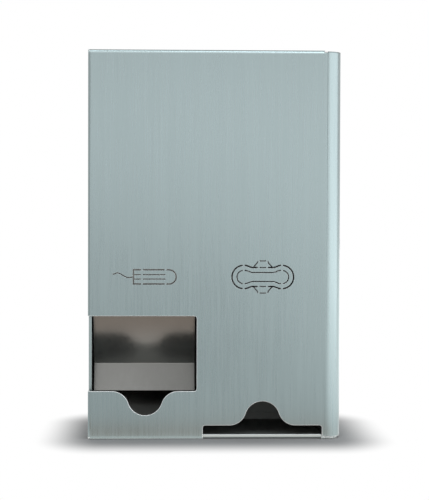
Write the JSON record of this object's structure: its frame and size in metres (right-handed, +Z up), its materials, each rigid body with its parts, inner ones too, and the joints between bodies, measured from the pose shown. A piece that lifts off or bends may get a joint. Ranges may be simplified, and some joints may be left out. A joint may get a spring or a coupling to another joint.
{
  "type": "wall-mounted tampon and pad dispenser",
  "caption": "Wall-hung steel box with a hinged front, an open window with a finger scoop for tampons and a foot slot for pads.",
  "frame": {"origin": "middle of the foot of the box, halfway in width and depth", "axes": "+X to the right seen from the front, +Y to the wall, +Z up"},
  "size_m": [0.2558, 0.12, 0.39],
  "materials": {
    "door_steel": "stainless sheet brushed upright",
    "body_steel": "stainless sheet, fine brushed",
    "inner_steel": "smooth bright rolled stainless sheet",
    "zinc_steel": "zinc-plated steel",
    "lock_chrome": "plated die-casting",
    "lock_brass": "turned brass",
    "white_nylon": "moulded nylon",
    "black_rubber": "stick-on rubber"
  },
  "bodies": {
    "cabinet": {"back_panel": "body_steel", "left_side_panel": "body_steel", "top_panel": "body_steel", "bottom_panel": "body_steel", "bay_divider": "body_steel", "pad_bay_right_wall": "body_steel", "pad_shelf": "body_steel", "tampon_guide_plate": "inner_steel", "tampon_ramp": "inner_steel", "door_buffer_1": "black_rubber", "door_buffer_2": "black_rubber", "hinge_bracket_upper": "zinc_steel", "hinge_bracket_lower": "zinc_steel", "hinge_pin_upper": "zinc_steel", "hinge_pin_lower": "zinc_steel", "hinge_washer_upper": "white_nylon", "hinge_washer_lower": "white_nylon", "hinge_screw_upper_1": "zinc_steel", "hinge_screw_upper_2": "zinc_steel", "hinge_screw_lower_1": "zinc_steel", "hinge_screw_lower_2": "zinc_steel", "lock_keeper": "zinc_steel", "keeper_screw_1": "zinc_steel", "keeper_screw_2": "zinc_steel"},
    "door": {"front_door": "door_steel", "lock_housing": "lock_chrome", "lock_nut": "lock_brass"},
    "lock_core": {"lock_plug": "lock_brass", "lock_cam": "zinc_steel", "cam_screw": "zinc_steel"}
  },
  "joints": [
    {"name": "door_hinge", "type": "hinge", "parent": "cabinet", "child": "door", "pos_m": [-0.12195, -0.0545, 0.195], "axis": [0, 0, -1], "range_deg": [0, 100]},
    {"name": "lock_turn", "type": "hinge", "parent": "door", "child": "lock_core", "pos_m": [0.12595, -0.02, 0.195], "axis": [-1, 0, 0], "range_deg": [0, 90]}
  ]
}
